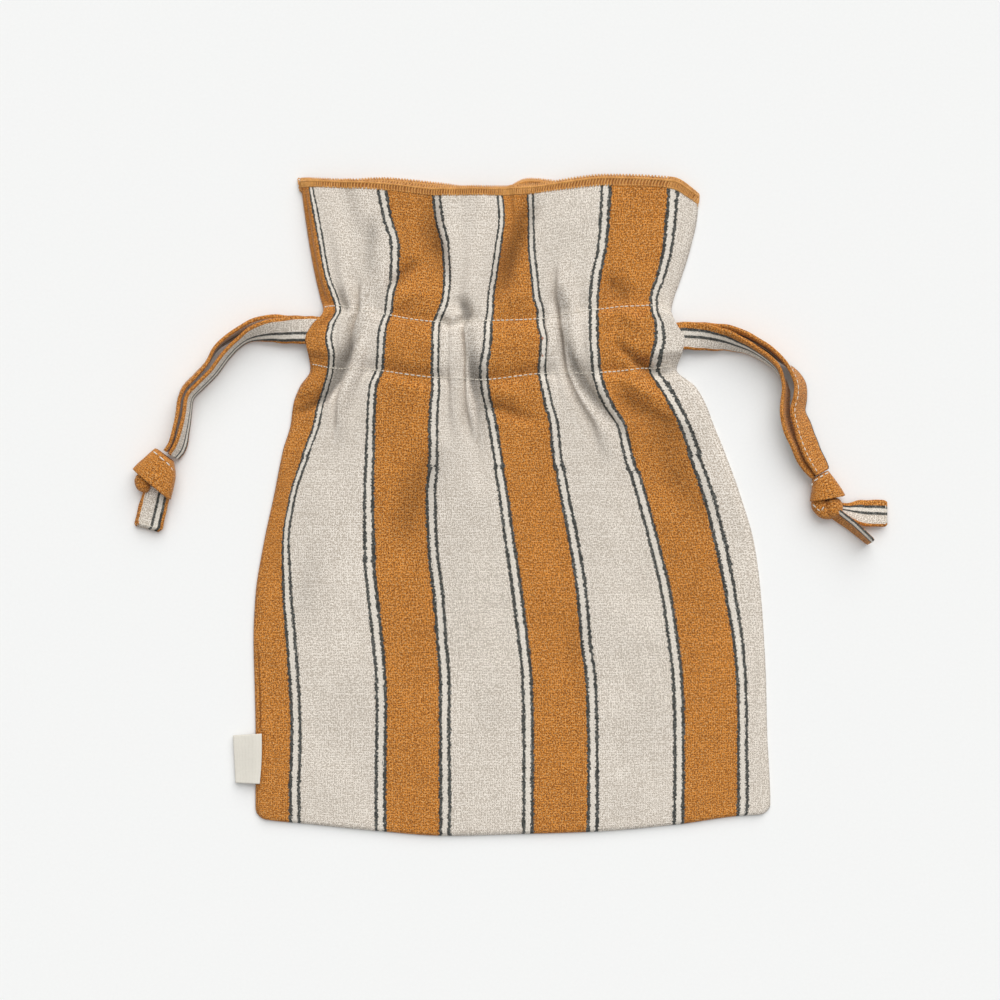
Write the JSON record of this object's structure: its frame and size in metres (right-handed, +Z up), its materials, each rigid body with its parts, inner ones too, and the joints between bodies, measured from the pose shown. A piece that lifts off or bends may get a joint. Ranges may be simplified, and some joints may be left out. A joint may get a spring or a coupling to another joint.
{
  "type": "drawstring pouch",
  "caption": "Flat linen drawstring pouch with an overlocked ruffled mouth, a stitched channel, and knotted tape ties at both sides, lying on its back.",
  "frame": {"origin": "centre of the bag's box at the surface it lies on", "axes": "+Y towards the mouth, along the bag's length; +X to the right seen from above; +Z up, out of the front panel"},
  "size_m": [0.3009, 0.2636, 0.0116],
  "materials": {
    "striped_linen": "matt plain weave printed in ochre stripes edged with dark lines",
    "overlock_thread": "dense lustrous thread wrapped over the mouth's edge",
    "label_tape": "matt cream woven tape, bare",
    "tie_linen": "matt folded linen tape with a stitched edge"
  },
  "bodies": {
    "root": {"front_panel": "striped_linen", "back_panel": "striped_linen", "overlock_front": "overlock_thread", "overlock_back": "overlock_thread", "label": "label_tape", "left_tie_front": "tie_linen", "left_tie_back": "tie_linen", "left_knot": "tie_linen", "right_tie_inner": "tie_linen", "right_tie_outer": "tie_linen", "right_knot": "tie_linen"}
  },
  "joints": []
}
